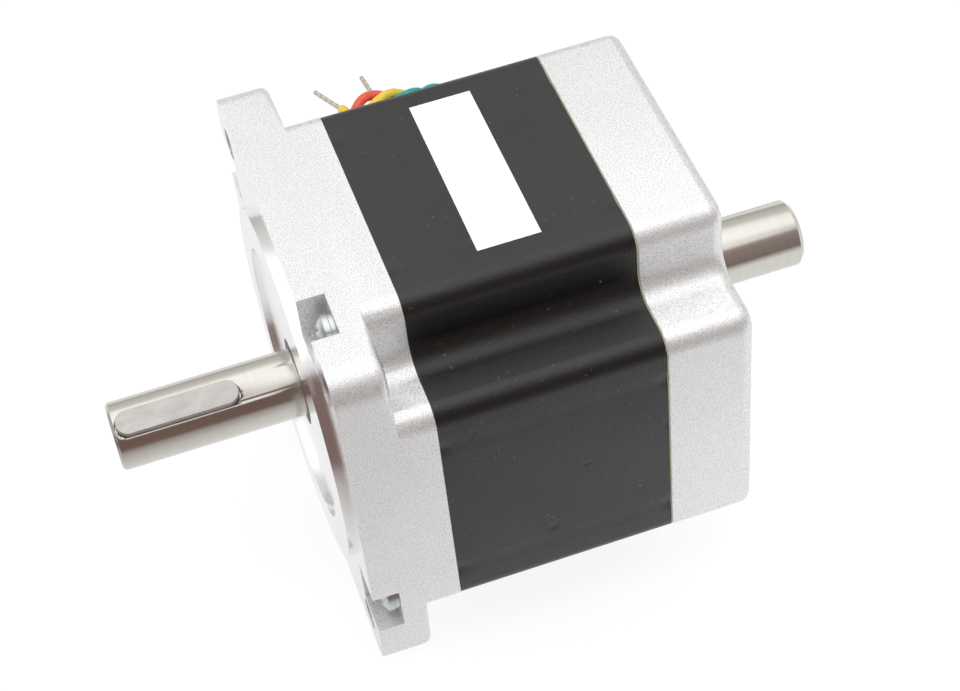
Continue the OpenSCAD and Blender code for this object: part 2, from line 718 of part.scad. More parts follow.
// Toothed outline of a rotor stack, turned by a share of a tooth
function rotor_outline(turn_share) = [for (i = [0:rotor_teeth - 1], step = [[0, 0], [0, 1], [1, 1], [1, 0]])
    let (edge = tooth_share / 2 * (2 * step[0] - 1),
        turn = tooth_pitch * (i + turn_share + edge),
        r = rotor_r - tooth_h * (step[1] == step[0] ? 1 - step[0] : step[0]))
    [r * cos(turn), r * sin(turn)]];

module rotor_stack(y_from, y_to, turn_share) color(lamination_colour) along_y(y_from, y_to)
    difference() {
        polygon(rotor_outline(turn_share));
        circle(r = rotor_seat_d / 2 + seat_gap);
    }

module front_rotor_stack() rotor_stack(rotor_y, rotor_y + stack_len, 0);
module rear_rotor_stack() rotor_stack(rotor_end_y - stack_len, rotor_end_y, 1 / 2);

module rotor_magnet() color(magnet_colour) difference() {
    bar_y(magnet_r, rotor_y + stack_len, rotor_end_y - stack_len);
    bar_y(rotor_seat_d / 2 + seat_gap, rotor_y, rotor_end_y);
}

front_cap();
rear_cap();
stator_core();
stator_sleeve();
label();
front_insulator();
rear_insulator();
coil_1();
coil_2();
coil_3();
coil_4();
coil_5();
coil_6();
coil_7();
coil_8();
assembly_screws();
screw_spring_washers();
front_bearing_outer_ring();
front_bearing_inner_ring();
front_bearing_cage();
front_bearing_balls();
front_bearing_shields();
rear_bearing_outer_ring();
rear_bearing_inner_ring();
rear_bearing_cage();
rear_bearing_balls();
rear_bearing_shields();
wave_washer();
lead_grommet();
lead_tails();
lead_red();
lead_yellow();
lead_green();
lead_blue();
lead_tip_red();
lead_tip_yellow();
lead_tip_green();
lead_tip_blue();
shaft();
shaft_key();
front_rotor_stack();
rear_rotor_stack();
rotor_magnet();
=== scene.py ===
# %% [markdown]
# # A square stepper motor, dressed for its picture
#
# The motor is a block of 86 mm: two blasted aluminium end caps hold a stack of steel sheets
# that is wrapped in black film. A keyed shaft leaves the front and a plain one leaves the rear.
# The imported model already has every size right, so this script only adds what a drawing leaves
# out: soft edges, grain, turned faces, creases, and leads that lie in smooth curves.

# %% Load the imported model
import math

import bmesh
import bpy
from mathutils import Matrix, Vector


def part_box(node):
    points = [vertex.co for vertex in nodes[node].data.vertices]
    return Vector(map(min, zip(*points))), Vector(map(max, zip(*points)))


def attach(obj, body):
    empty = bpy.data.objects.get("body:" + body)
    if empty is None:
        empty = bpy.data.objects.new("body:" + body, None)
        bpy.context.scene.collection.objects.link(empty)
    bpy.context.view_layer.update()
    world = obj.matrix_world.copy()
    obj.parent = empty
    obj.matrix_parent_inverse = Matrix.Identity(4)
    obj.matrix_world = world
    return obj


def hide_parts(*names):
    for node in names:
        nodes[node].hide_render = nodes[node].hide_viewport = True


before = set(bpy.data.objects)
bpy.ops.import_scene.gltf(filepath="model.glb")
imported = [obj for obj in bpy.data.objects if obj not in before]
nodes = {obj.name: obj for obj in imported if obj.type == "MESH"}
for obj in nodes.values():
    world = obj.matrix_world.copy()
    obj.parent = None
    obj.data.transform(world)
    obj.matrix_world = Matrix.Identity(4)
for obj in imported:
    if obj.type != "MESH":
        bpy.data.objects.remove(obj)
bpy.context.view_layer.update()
MM = 0.001

print("nodes:", len(nodes))

# %% [markdown]
# ## The camera
#
# The photograph looks down on the motor from in front of its right side. A camera could be
# turned by eye until the edges agree, but the standard sizes of this frame are known, so the
# place below was solved from the measured edges of the body and the shaft. It is written as a
# place, a point that the camera looks at, and a roll, because those can be read and changed.

# %% Place the camera
CAMERA_PLACE = Vector((294.93, -32.91, 332.61)) * MM
CAMERA_TARGET = Vector((2.56, 37.11, -2.84)) * MM
CAMERA_ROLL = math.radians(-6.875)
CAMERA_LENS = 83.02
CLIP_NEAR = 0.01
CLIP_FAR = 20


def look_at(place, target, roll=0.0):
    """The matrix that puts a camera or lamp at a place, facing a target."""
    turn = (place - target).to_track_quat("Z", "Y").to_matrix().to_4x4()
    return Matrix.Translation(place) @ turn @ Matrix.Rotation(roll, 4, "Z")


camera_data = bpy.data.cameras.new("camera")
camera_data.lens = CAMERA_LENS
camera_data.clip_start = CLIP_NEAR
camera_data.clip_end = CLIP_FAR
camera = bpy.data.objects.new("camera", camera_data)
camera.matrix_world = look_at(CAMERA_PLACE, CAMERA_TARGET, CAMERA_ROLL)
bpy.context.scene.collection.objects.link(camera)
bpy.context.scene.camera = camera
print("camera turned by", [round(math.degrees(a), 1) for a in camera.matrix_world.to_euler()])

# %% [markdown]
# ## Material helpers
#
# A material here is a Principled shader with a few texture nodes in front of it. Writing the
# nodes out each time hides what matters, so a few small helpers make nodes and join sockets.
# All patterns read Object coordinates, which are metres in the motor's own frame, so a scale of
# 1000 means one repeat for each millimetre.

# %% Node helpers


def set_or_link(tree, socket, value):
    """Links a node's output to a socket, or sets the socket to a plain value."""
    if isinstance(value, bpy.types.NodeSocket):
        tree.links.new(value, socket)
    else:
        socket.default_value = value


def add_node(tree, kind, settings=None, **sockets):
    """Adds a node to a tree, sets its own settings, and then sets or links its sockets."""
    made = tree.nodes.new(kind)
    for key, value in (settings or {}).items():
        setattr(made, key, value)
    for key, value in sockets.items():
        set_or_link(tree, made.inputs[key.replace("_", " ")], value)
    return made


def calculate(tree, operation, *values):
    """The result of a Math node. Each value is a socket or a number."""
    made = add_node(tree, "ShaderNodeMath", {"operation": operation})
    for socket, value in zip(made.inputs, values):
        set_or_link(tree, socket, value)
    return made.outputs[0]


def map_value(tree, value, low, high, low_in=0.0, high_in=1.0):
    """Maps a value from one range to another, and holds it at the ends."""
    made = add_node(tree, "ShaderNodeMapRange", Value=value,
                    From_Min=low_in, From_Max=high_in, To_Min=low, To_Max=high)
    return made.outputs["Result"]


def colour_ramp(tree, value, stops):
    """Turns a value into a colour between stops, given as (place, colour)."""
    made = add_node(tree, "ShaderNodeValToRGB", Fac=value)
    while len(made.color_ramp.elements) < len(stops):
        made.color_ramp.elements.new(0.5)
    for element, (place, colour) in zip(made.color_ramp.elements, stops):
        element.position = place
        element.color = (*colour, 1)
    return made.outputs["Color"]


def mix_colour(tree, share, first, second):
    """Blends two colours, given as sockets or as three numbers."""
    made = add_node(tree, "ShaderNodeMix", {"data_type": "RGBA"}, Factor=share)
    for name, value in (("A", first), ("B", second)):
        if not isinstance(value, bpy.types.NodeSocket):
            value = (*value, 1)
        set_or_link(tree, made.inputs[name], value)
    return made.outputs["Result"]


class Finish:
    """A material under construction, with its Principled shader and Object coordinates."""

    def __init__(self, name, colour, metallic=0.0, roughness=0.5):
        self.material = bpy.data.materials.new(name)
        self.material.use_nodes = True
        self.tree = self.material.node_tree
        self.shader = self.tree.nodes["Principled BSDF"]
        self.shader.inputs["Base Color"].default_value = (*colour, 1)
        self.shader.inputs["Metallic"].default_value = metallic
        self.shader.inputs["Roughness"].default_value = roughness
        self.place = self.node("ShaderNodeTexCoord").outputs["Object"]
        print("finish:", name)

    def node(self, kind, settings=None, **sockets):
        """Adds a node to this material."""
        return add_node(self.tree, kind, settings, **sockets)

    def link(self, output, socket_name):
        """Links a node's output to a socket of the shader."""
        self.tree.links.new(output, self.shader.inputs[socket_name])

    def noise(self, scale, detail=2.0, roughness=0.5, vector=None):
        """Grain with a given number of repeats in a metre."""
        made = self.node("ShaderNodeTexNoise", Vector=vector or self.place, Scale=scale,
                         Detail=detail, Roughness=roughness)
        return made.outputs["Fac"]

    def ramp(self, value, stops):
        """A colour between stops, chosen by a value."""
        return colour_ramp(self.tree, value, stops)

    def spread(self, value, low, high, low_in=0.0, high_in=1.0):
        """A value mapped to the range from low to high."""
        return map_value(self.tree, value, low, high, low_in, high_in)

    def bump(self, height, depth, strength=1.0, under=None):
        """Relief of a given depth in metres. It can lie on another relief."""
        made = self.node("ShaderNodeBump", Height=height, Distance=depth, Strength=strength)
        if under:
            self.tree.links.new(under, made.inputs["Normal"])
        return made.outputs["Normal"]

    def squeezed(self, x, y, z):
        """Object coordinates scaled by a share along each axis, which stretches a pattern."""
        made = self.node("ShaderNodeMapping", Vector=self.place)
        made.inputs["Scale"].default_value = (x, y, z)
        return made.outputs["Vector"]


# %% [markdown]
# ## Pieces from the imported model
#
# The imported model's meshes are loose triangles with hard edges, and they must stay as they are.
# A piece that needs a soft edge starts as a copy: its doubled corners are merged, its flat
# triangles join into whole faces, and then a Bevel modifier can find the true edges. Modelling
# each casting again by hand would only repeat sizes that the model already has.

# %% Copy helpers
SAME_CORNER = 0.002 * MM
SAME_PLANE = math.radians(0.2)
SOFT_ANGLE = math.radians(35)


def merged_copy(node):
    """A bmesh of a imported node, with its corners joined and its flat faces whole."""
    mesh = bmesh.new()
    mesh.from_mesh(nodes[node].data)
    bmesh.ops.remove_doubles(mesh, verts=mesh.verts, dist=SAME_CORNER)
    bmesh.ops.dissolve_limit(mesh, angle_limit=SAME_PLANE, verts=mesh.verts, edges=mesh.edges)
    return mesh


def as_piece(mesh, name, body, slot, *finishes, replaced=(), sharp=30):
    """Turns a bmesh into an object that rides on a body and wears its finishes."""
    data = bpy.data.meshes.new(name)
    mesh.to_mesh(data)
    mesh.free()
    data.shade_smooth()
    data.set_sharp_from_angle(angle=math.radians(sharp))
    piece = bpy.data.objects.new(name, data)
    bpy.context.scene.collection.objects.link(piece)
    for finish in finishes:
        data.materials.append(finish.material)
    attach(piece, body)
    if replaced:
        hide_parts(*replaced)
    print(name, "has", len(data.polygons), "faces")
    return piece


def soften(piece, width, segments=2):
    """Rounds the sharp edges of a piece."""
    bevel = piece.modifiers.new("soft edges", "BEVEL")
    bevel.width = width
    bevel.segments = segments
    bevel.limit_method = "ANGLE"
    bevel.angle_limit = SOFT_ANGLE
    bevel.harden_normals = True


# %% [markdown]
# ## The leads
#
# Four insulated wires leave the left side of the rear cap, drop to the bench and lie there in a
# loose bend. At the far end they wind round each other and part, and the last centimetre of each
# is bare tinned strand. Only that end shows over the motor's far edge in the photograph. The
# route is a list of points for the middle of the bundle, the same list that the solids follow,
# and each wire goes round it at a quarter turn from the next.

# %% Route of the leads
LEAD_R = 1.25 * MM
BUNDLE_R = 2.3 * MM
FIRST_TURN = 45
QUARTER_TURN = 90
# Each row is x, y and z in millimetres, and then the bundle's twist so far in degrees.
ROUTE = [
    (-44.2, 66.3, 0, 0), (-51.5, 66.3, 0, 0), (-59.5, 65.5, -7, 0), (-65, 61, -24, 0),
    (-69, 52, -38, 0), (-71.5, 38, -40, 0), (-73, 24, -40, 0), (-76.5, 16, -40, 0),
    (-83, 13, -40, 0), (-88.5, 17, -40, 0), (-90.5, 26, -40, 0), (-91.5, 72, -40, 0),
    (-93, 80, -40, 0), (-96.5, 86, -40, 0), (-101.5, 87.5, -39.8, 0), (-105.3, 84, -39.6, 0),
    (-106.8, 78, -39.5, 0), (-107.6, 72.4, -39.4, 0), (-108.7, 68.6, -39.4, 8),
    (-110.4, 65.4, -39.4, 26), (-111.9, 62.8, -39.4, 57), (-112.8, 60.6, -39.4, 95),
    (-113.1, 58.4, -39.4, 135), (-113.2, 56.2, -39.4, 176), (-113.7, 54, -39.4, 217),
    (-114.6, 51.8, -39.4, 258), (-115.5, 49.6, -39.4, 298), (-116.1, 47.4, -39.4, 338)]
# The points where each wire goes on by itself, in millimetres.
ENDS = {
    "red": [(-118.1, 45.3, -37.7), (-117, 43.3, -37.2), (-115.5, 41.2, -38), (-113.8, 39, -39.8),
            (-112, 36.6, -41.4), (-110.2, 34.1, -41.7)],
    "yellow": [(-114.5, 45.2, -38), (-113.9, 43.3, -39.8), (-114.9, 41.3, -41.3),
               (-117.2, 39.9, -41.65), (-120.6, 38.2, -41.65)],
    "green": [(-112.7, 45.4, -41.2), (-110.4, 43.1, -41.7), (-108.3, 40.3, -41.7)],
    "blue": [(-118.4, 47.6, -41.7), (-120.2, 47.4, -41.7)]}
middle = [Vector(row[:3]) * MM for row in ROUTE]
print("points on the middle of the route:", len(middle))


def around(k, angle):
    """A point beside the middle line at its point k, at an angle from level round to above."""
    ahead = (middle[min(k + 1, len(middle) - 1)] - middle[max(k - 1, 0)]).normalized()
    side = Vector((ahead.y, -ahead.x, 0)).normalized()
    up = side.cross(ahead)
    return middle[k] + BUNDLE_R * (side * math.cos(angle) + up * math.sin(angle))


def lead_points(number, end):
    """The points of one lead: its twisted way along the route, and then its own end."""
    start = FIRST_TURN + QUARTER_TURN * number
    turned = [around(k, math.radians(start + ROUTE[k][3])) for k in range(len(middle))]
    return turned + [Vector(point) * MM for point in end]


# %% [markdown]
# A smooth wire could be a swept mesh, but a Bezier curve with automatic handles already bends
# like one, and it can be measured. Its insulation is smooth vinyl: glossy, with a slight
# waviness where it was drawn over the strands.

# %% Insulation


def insulation(name, colour):
    """Glossy vinyl of one colour."""
    finish = Finish(name, colour, roughness=0.32)
    finish.shader.inputs["Coat Weight"].default_value = 0.1
    finish.shader.inputs["Coat Roughness"].default_value = 0.15
    shade = finish.noise(260, 3)
    darker = tuple(0.82 * c for c in colour)
    finish.link(finish.ramp(shade, [(0.3, darker), (0.7, colour)]), "Base Color")
    finish.link(finish.spread(finish.noise(900), 0.24, 0.42), "Roughness")
    finish.link(finish.bump(finish.noise(420), 0.06 * MM, 0.5), "Normal")
    return finish


LEAD_COLOURS = {
    "red": (0.95, 0.13, 0.08),
    "yellow": (1.0, 0.70, 0.06),
    "green": (0.0, 0.42, 0.37),
    "blue": (0.0, 0.40, 0.39)}


def lead_curve(name, points):
    """A round wire on a smooth curve through points."""
    curve = bpy.data.curves.new(name, "CURVE")
    curve.dimensions = "3D"
    curve.bevel_depth = LEAD_R
    curve.bevel_resolution = 5
    curve.resolution_u = 8
    curve.use_fill_caps = True
    spline = curve.splines.new("BEZIER")
    spline.bezier_points.add(len(points) - 1)
    for knot, point in zip(spline.bezier_points, points):
        knot.co = point
        knot.handle_left_type = "AUTO"
        knot.handle_right_type = "AUTO"
    piece = bpy.data.objects.new(name, curve)
    bpy.context.scene.collection.objects.link(piece)
    return piece


# %% [markdown]
# The bare tips are bundles of fine strands, twisted and dipped in solder. One ring of points
# with six soft lobes, extruded along the tip in small turned steps, gives that twist.

# %% Tinned tips
tinned = Finish("tinned_strands", (0.62, 0.58, 0.50), metallic=0.85, roughness=0.36)
tinned.link(tinned.bump(tinned.noise(1800, 4), 0.04 * MM, 0.6), "Normal")
tinned.link(tinned.spread(tinned.noise(700), 0.26, 0.52), "Roughness")

TIP_R = 0.6 * MM
TIP_LENGTH = 10 * MM
TIP_STEPS = 20
TIP_TURN = math.radians(300)
STRANDS = 6
STRAND_DEPTH = 0.14


def tip_mesh(start, direction):
    """A twisted bundle of strands from start, along direction."""
    mesh = bmesh.new()
    circle = bmesh.ops.create_circle(mesh, segments=6 * STRANDS, radius=TIP_R, cap_ends=True)
    for vert in circle["verts"]:
        angle = math.atan2(vert.co.y, vert.co.x)
        vert.co *= 1 - STRAND_DEPTH * abs(math.cos(STRANDS / 2 * angle))
    front = mesh.faces[:]
    turn = Matrix.Rotation(TIP_TURN / TIP_STEPS, 3, "Z")
    for step in range(TIP_STEPS):
        made = bmesh.ops.extrude_face_region(mesh, geom=front)["geom"]
        bmesh.ops.delete(mesh, geom=front, context="FACES_ONLY" if step else "FACES_KEEP_BOUNDARY")
        front = [part for part in made if isinstance(part, bmesh.types.BMFace)]
        moved = [part for part in made if isinstance(part, bmesh.types.BMVert)]
        bmesh.ops.translate(mesh, verts=moved, vec=(0, 0, TIP_LENGTH / TIP_STEPS))
        bmesh.ops.rotate(mesh, verts=moved, cent=(0, 0, 0), matrix=turn)
    bmesh.ops.recalc_face_normals(mesh, faces=mesh.faces)
    place = Matrix.Translation(start) @ direction.to_track_quat("Z", "Y").to_matrix().to_4x4()
    bmesh.ops.transform(mesh, matrix=place, verts=mesh.verts)
    return mesh


# %% Make the four leads
for number, (colour, end) in enumerate(ENDS.items()):
    points = lead_points(number, end)
    lead = lead_curve("lead_wire_" + colour, points)
    lead.data.materials.append(insulation(colour + "_vinyl", LEAD_COLOURS[colour]).material)
    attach(lead, "housing")
    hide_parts("lead_" + colour)
    onward = (points[-1] - points[-2]).normalized()
    tip = as_piece(tip_mesh(points[-1], onward), "bare_strands_" + colour, "housing",
                   "tinned_copper", tinned, replaced=["lead_tip_" + colour], sharp=70)
    straight = sum((after - before).length for before, after in zip(points[:-1], points[1:]))
    print(lead.name, "follows", len(points), "points over", round(straight / MM, 1), "mm")

# %% [markdown]
# ## The cast end caps
#
# The caps are die castings that were blasted with fine beads. Up close the surface is a field of
# tiny dents, and each tips the light another way, so it sparkles without shining. A single grey
# would look like paper. Here a rough metal carries a bump of fine grain, a slow change of tone,
# light and dark specks in its colour that are grain tone and partly painted sparkle, and a few
# dark pits where the casting was nicked.

# %% Blasted aluminium
GRAIN = 5200
cast = Finish("blasted_aluminium", (0.88, 0.88, 0.885), metallic=0.7, roughness=0.36)
cast.shader.inputs["Specular IOR Level"].default_value = 0.3
grain = cast.noise(GRAIN, 3, 0.65)
# The light and dark specks in the colour are grain tone, and partly painted sparkle.
grain_and_painted_sparkle = cast.ramp(cast.noise(GRAIN * 0.8, 2, 0.6),
                    [(0.37, (0.633, 0.64, 0.645)), (0.5, (0.88, 0.89, 0.895)),
                     (0.63, (0.99, 1.0, 1.0))])
pits = cast.spread(cast.noise(480, 5, 0.7), 0, 1, 0.205, 0.24)
pit_shade = cast.ramp(pits, [(0, (0.25, 0.24, 0.23)), (1, (1, 1, 1))])
pitted = cast.node("ShaderNodeMix", {"data_type": "RGBA", "blend_type": "MULTIPLY"},
                   Factor=1.0, A=grain_and_painted_sparkle, B=pit_shade)
cast.link(pitted.outputs["Result"], "Base Color")
cast.link(cast.spread(cast.noise(45, 3), 0.31, 0.40, 0.3, 0.7), "Roughness")
cast.link(cast.bump(grain, 0.05 * MM, 0.9), "Normal")

# %% [markdown]
# The mounting face, the pilot and its recess were cut on a lathe after casting, so they are
# bright and carry fine rings round the shaft. A Wave texture set to rings about Y draws them.

# %% Turned aluminium
turned = Finish("turned_aluminium", (0.94, 0.94, 0.945), metallic=1.0, roughness=0.16)
rings = turned.node("ShaderNodeTexWave", {"wave_type": "RINGS", "rings_direction": "Y"},
                    Vector=turned.place, Scale=900, Distortion=0.6, Detail=2)
turned.link(turned.bump(rings.outputs["Fac"], 0.004 * MM, 0.5), "Normal")
turned.link(turned.spread(turned.noise(120, 3), 0.11, 0.2), "Roughness")

# %% Caps with soft edges
FACE_PLANE = 0.05 * MM
FLANGE_T = 10.4 * MM
HALF_W = 43 * MM
CORNER_R = 6 * MM
EAR_ROUND = 1.6 * MM
# Radians between two faces, past which an edge of an ear counts as a corner.
CORNER_ANGLE = 1.0
CLOSE = 0.05 * MM
CASTING_EDGE = 0.3 * MM


def on_outline(spot):
    """Whether a point lies on the outline of the square flange, with its round corners."""
    over_x = max(abs(spot.x) - HALF_W + CORNER_R, 0)
    over_z = max(abs(spot.z) - HALF_W + CORNER_R, 0)
    return math.hypot(over_x, over_z) > CORNER_R - CLOSE


def round_the_ears(mesh):
    """Rounds the rear edges of the flange's four ears, as the casting mould leaves them."""
    edges = []
    for edge in mesh.edges:
        at_rear = all(abs(vert.co.y - FLANGE_T) < CLOSE and on_outline(vert.co)
                      for vert in edge.verts)
        if at_rear and edge.calc_face_angle_signed(0) > CORNER_ANGLE:
            edges.append(edge)
    bmesh.ops.bevel(mesh, geom=edges, affect="EDGES", offset=EAR_ROUND, offset_type="OFFSET",
                    segments=5, profile=0.5, material=-1)
    print("ear edges rounded:", len(edges))


def cap_piece(node, name):
    """A cap with soft edges, cast all over but for the faces that were turned."""
    mesh = merged_copy(node)
    if node == "front_cap":
        round_the_ears(mesh)
    for face in mesh.faces:
        if face.calc_center_median().y < FACE_PLANE:
            face.material_index = 1
    piece = as_piece(mesh, name, "housing", "cast_aluminium", cast, turned, replaced=[node])
    soften(piece, CASTING_EDGE)


cap_piece("front_cap", "front_casting")
cap_piece("rear_cap", "rear_casting")
print("cap edges softened by", CASTING_EDGE / MM, "mm")

# %% [markdown]
# ## The black sleeve
#
# A thin film is shrunk over the stack of steel sheets. The edges of the sheets show through it as
# very fine ribs, half a millimetre apart, and where the stack has shallow grooves along its sides
# the film sinks a little, most at its two ends. The ribs are too fine to model, so they are a
# bump of bands along Y. The sunk places change the outline of the edge, so they are real.

# %% Black film
SHEET_PITCH = 0.5 * MM
# A Wave texture of scale 1 has one band in every tenth of pi metres.
SHEET_BANDS = math.pi / 10 / SHEET_PITCH
film = Finish("black_film", (0.003, 0.003, 0.003), roughness=0.36)
film.shader.inputs["IOR"].default_value = 1.65
film.shader.inputs["Specular Tint"].default_value = (0.97, 1.0, 1.0, 1)
bands = film.node("ShaderNodeTexWave", {"wave_type": "BANDS", "bands_direction": "Y"},
                  Vector=film.place, Scale=SHEET_BANDS, Distortion=0.4, Detail=1,
                  Detail_Scale=200)
ribs = film.bump(bands.outputs["Fac"], 0.03 * MM, 1.0)
dents = film.bump(film.spread(film.noise(120, 2), 1, 0, 0.70, 0.84), 0.25 * MM, 1.0, under=ribs)
film.link(film.bump(film.noise(1500, 4, 0.75), 0.08 * MM, 1.0, under=dents), "Normal")
film.link(film.spread(film.noise(60, 4), 0.31, 0.42, 0.3, 0.7), "Roughness")
# The light grey specks in the film's colour are painted glints, standing in for its sparkle.
painted_glints = film.spread(film.noise(1100, 2), 0, 1, 0.72, 0.78)
film.link(film.ramp(painted_glints, [(0, (0.003, 0.003, 0.003)), (1, (0.12, 0.12, 0.12))]), "Base Color")
edge_line = Finish("film_edge", (0.42, 0.38, 0.24), roughness=0.5)
edge_line.link(edge_line.bump(edge_line.noise(1500), 0.02 * MM, 0.4), "Normal")

# %% Sleeve with sunk grooves
GROOVE_OFFSET = 18.5 * MM
GROOVE_REACH = 1.5 * MM
SINK_AT_END = 0.42 * MM
SINK_ALONG = 0.05 * MM
END_REACH = 1.7 * MM
EDGE_LINE = 0.16 * MM
GROOVE_STEP = 0.6 * MM
# Millimetres from each end to the loops of edges, which lie closer where the film sinks more.
FRONT_LOOPS = (0.4, 0.9, 1.5, 2.3, 3.4, 5, 8, 13, 20)
REAR_LOOPS = (0.16, 0.5, 1.0, 1.6, 2.4, 3.5, 5, 8, 13, 20)
SIDE_BAND = 1 * MM
ON_PLANE = 1e-7

sleeve_low, sleeve_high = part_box("stator_sleeve")
mesh = merged_copy("stator_sleeve")


def cut_across(axis, places):
    """Adds a loop of edges to the mesh at each place along an axis."""
    normal = Vector((0, 0, 0))
    normal[axis] = 1
    for place in places:
        everything = mesh.verts[:] + mesh.edges[:] + mesh.faces[:]
        bmesh.ops.bisect_plane(mesh, geom=everything, dist=ON_PLANE, plane_co=normal * place,
                               plane_no=normal)


steps = [GROOVE_STEP * i for i in range(-5, 6)]
for axis in (0, 2):
    cut_across(axis, [side * GROOVE_OFFSET + step for side in (-1, 1) for step in steps])
cut_across(1, [sleeve_low.y + distance * MM for distance in FRONT_LOOPS])
cut_across(1, [sleeve_high.y - distance * MM for distance in REAR_LOOPS])


def sink(vert):
    """How far the film sinks at a corner of the mesh, along each axis."""
    from_end = min(vert.co.y - sleeve_low.y, sleeve_high.y - vert.co.y)
    depth = SINK_ALONG + SINK_AT_END * math.exp(-(from_end / END_REACH) ** 2)
    moved = Vector((0, 0, 0))
    for flat, across in ((0, 2), (2, 0)):
        if abs(vert.co[flat]) > HALF_W - SIDE_BAND:
            off = (abs(vert.co[across]) - GROOVE_OFFSET) / GROOVE_REACH
            moved[flat] -= math.copysign(depth * math.exp(-off * off), vert.co[flat])
    return moved


for vert in mesh.verts:
    vert.co += sink(vert)
for face in mesh.faces:
    if face.calc_center_median().y > sleeve_high.y - EDGE_LINE:
        face.material_index = 1
as_piece(mesh, "shrunk_film", "housing", "black_sleeve", film, edge_line,
         replaced=["stator_sleeve"], sharp=50)

# %% [markdown]
# ## The label
#
# A bare white sticker of matt film lies on top of the sleeve. It is thin, but its corners are
# cut slightly round and its edge catches light, so it gets a small bevel of its own.

# %% Bare label
sticker = Finish("white_label", (0.93, 0.93, 0.93), roughness=0.55)
sticker.link(sticker.bump(sticker.noise(1500, 3), 0.006 * MM, 0.5), "Normal")
cloudy = sticker.ramp(sticker.noise(30, 2), [(0.3, (0.915,) * 3), (0.7, (0.945,) * 3)])
sticker.link(cloudy, "Base Color")
label = as_piece(merged_copy("label"), "bare_label", "housing", "label_film", sticker,
                 replaced=["label"])
soften(label, 0.04 * MM)

# %% [markdown]
# ## Shafts and key
#
# Both shaft ends are ground, which leaves very fine lines round them. Lines round the axis
# change only along Y, so the noise is squeezed flat in the other two directions. The key is
# drawn bar, greyer and duller than the shaft.

# %% Ground steel
ground = Finish("ground_steel", (0.69, 0.67, 0.625), metallic=1.0, roughness=0.15)
lines = ground.noise(1.0, 4, 0.6, ground.squeezed(60, 9000, 60))
ground.link(ground.bump(lines, 0.0015 * MM, 0.3), "Normal")
ground.link(ground.spread(lines, 0.13, 0.18, 0.3, 0.7), "Roughness")
ground.link(ground.ramp(ground.noise(1.0, 3, 0.5, ground.squeezed(20, 700, 20)),
                        [(0.3, (0.675, 0.655, 0.61)), (0.7, (0.705, 0.685, 0.64))]), "Base Color")

drawn = Finish("drawn_bar", (0.56, 0.545, 0.525), metallic=1.0, roughness=0.34)
scratches = drawn.noise(1.0, 3, 0.6, drawn.squeezed(2500, 300, 2500))
drawn.link(drawn.bump(scratches, 0.006 * MM, 0.4), "Normal")
drawn.link(drawn.spread(drawn.noise(300, 3), 0.3, 0.42, 0.3, 0.7), "Roughness")
streaks = drawn.noise(1.0, 3, 0.6, drawn.squeezed(700, 160, 700))
drawn.link(drawn.ramp(streaks, [(0.32, (0.51, 0.495, 0.478)), (0.5, (0.56, 0.545, 0.528)),
                                (0.68, (0.595, 0.583, 0.567))]), "Base Color")

shaft = as_piece(merged_copy("shaft"), "ground_shaft", "rotor", "ground_steel", ground,
                 replaced=["shaft"])
soften(shaft, 0.05 * MM)
key = as_piece(merged_copy("shaft_key"), "shaft_key_bar", "rotor", "key_steel", drawn,
               replaced=["shaft_key"])
soften(key, 0.25 * MM, 3)

# %% [markdown]
# ## Small metal parts
#
# The four assembly screws sit in pockets of the flange, with domed zinc heads and a spring
# washer under each. Zinc plate is bluish and cloudy, so its roughness wanders.

# %% Zinc screws
zinc = Finish("zinc_plate", (0.72, 0.75, 0.755), metallic=1.0, roughness=0.28)
zinc.link(zinc.spread(zinc.noise(500, 3), 0.2, 0.38), "Roughness")
zinc.link(zinc.bump(zinc.noise(1300, 3), 0.01 * MM, 0.5), "Normal")
screws = as_piece(merged_copy("assembly_screws"), "pan_head_screws", "housing", "zinc_plate", zinc,
                  replaced=["assembly_screws"])
soften(screws, 0.12 * MM)
washers = as_piece(merged_copy("screw_spring_washers"), "spring_washers", "housing",
                   "zinc_plate", zinc, replaced=["screw_spring_washers"])
soften(washers, 0.1 * MM)

# %% [markdown]
# ## Grommet and inner parts
#
# A rubber grommet holds the leads where they leave the cap. The winding, the rotor and the
# bearings are closed in, but they show when the motor is taken apart, so each has its finish.

# %% Rubber, nylon, copper and bearing steel
rubber = Finish("black_rubber", (0.022, 0.022, 0.022), roughness=0.62)
rubber.link(rubber.bump(rubber.noise(1400, 3), 0.02 * MM, 0.5), "Normal")
grommet = as_piece(merged_copy("lead_grommet"), "rubber_grommet", "housing", "black_rubber",
                   rubber, replaced=["lead_grommet"])
soften(grommet, 0.4 * MM, 3)

nylon = Finish("ivory_nylon", (0.76, 0.72, 0.62), roughness=0.45)
nylon.link(nylon.bump(nylon.noise(700, 2), 0.01 * MM, 0.4), "Normal")
copper = Finish("enamelled_copper", (0.62, 0.24, 0.10), metallic=1.0, roughness=0.3)
turns = copper.node("ShaderNodeTexWave", {"wave_type": "RINGS", "rings_direction": "Y"},
                    Vector=copper.place, Scale=260)
copper.link(copper.bump(turns.outputs["Fac"], 0.2 * MM, 0.6), "Normal")
sheets = Finish("steel_sheets", (0.36, 0.37, 0.39), metallic=1.0, roughness=0.45)
stacked = sheets.node("ShaderNodeTexWave", {"wave_type": "BANDS", "bands_direction": "Y"},
                      Vector=sheets.place, Scale=SHEET_BANDS)
sheets.link(sheets.bump(stacked.outputs["Fac"], 0.05 * MM, 0.6), "Normal")
race = Finish("bearing_steel", (0.70, 0.70, 0.71), metallic=1.0, roughness=0.2)
race.link(race.bump(race.noise(900, 2), 0.004 * MM, 0.4), "Normal")
strip = Finish("rolled_strip", (0.58, 0.58, 0.58), metallic=1.0, roughness=0.38)
strip.link(strip.bump(strip.noise(600, 2), 0.008 * MM, 0.4), "Normal")
